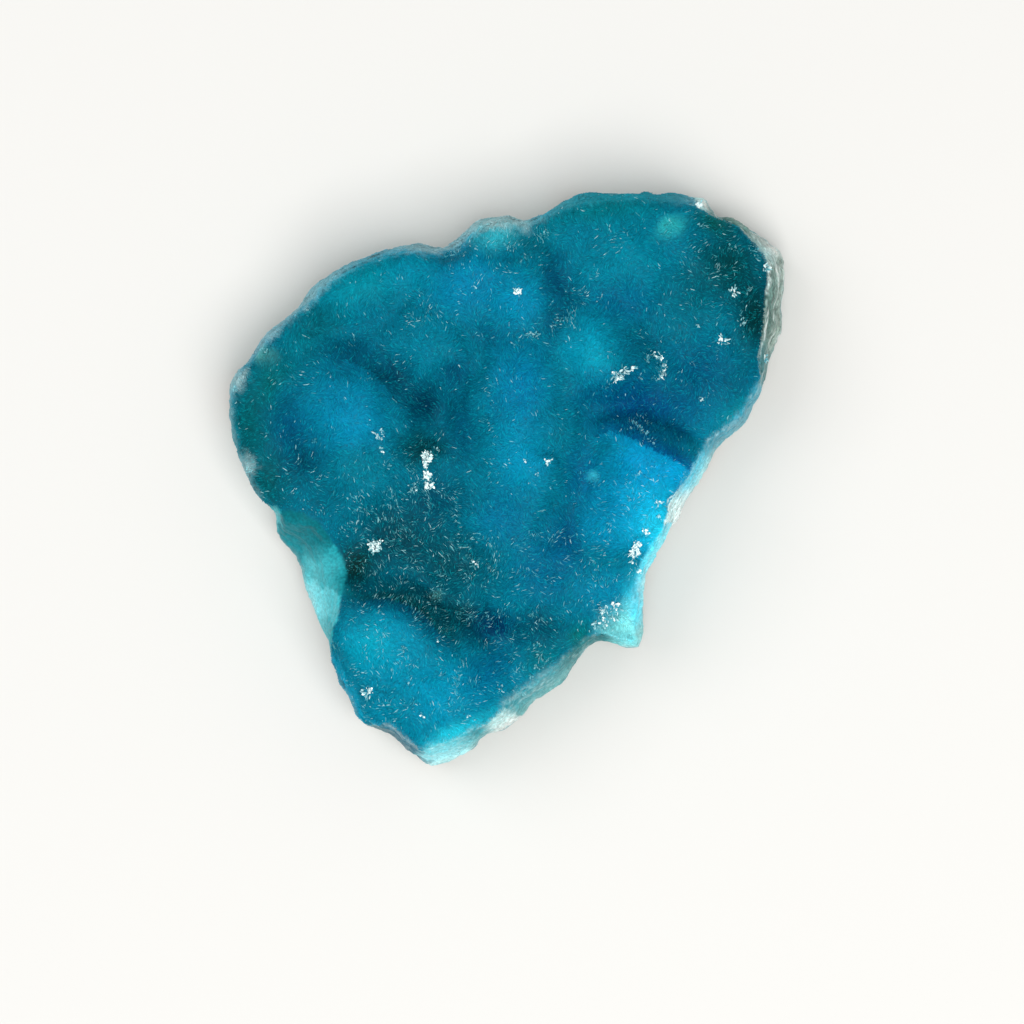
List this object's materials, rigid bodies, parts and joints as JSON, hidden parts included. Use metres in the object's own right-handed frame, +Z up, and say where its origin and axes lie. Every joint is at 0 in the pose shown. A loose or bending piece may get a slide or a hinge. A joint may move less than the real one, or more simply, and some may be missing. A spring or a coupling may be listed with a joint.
{
  "type": "hemimorphite specimen",
  "caption": "Hand specimen of blue hemimorphite: a lumpy crust covered in fine sparkling crystals, with pale broken edges and a rough flat back to rest on.",
  "frame": {"origin": "middle of the stone's box, on the plane of the flat lands of its broken back", "axes": "+Z up from the back through the crust, the thinnest way; +Y towards the broad rounded growth edge; +X towards the broken rim"},
  "size_m": [0.0516, 0.0532, 0.0126],
  "materials": {
    "blue_hemimorphite": "fine glittering crystal crust, saturated blue on the lumps and dark teal in the hollows, pale where broken"
  },
  "bodies": {
    "root": {"hemimorphite_plate": "blue_hemimorphite"}
  },
  "joints": []
}
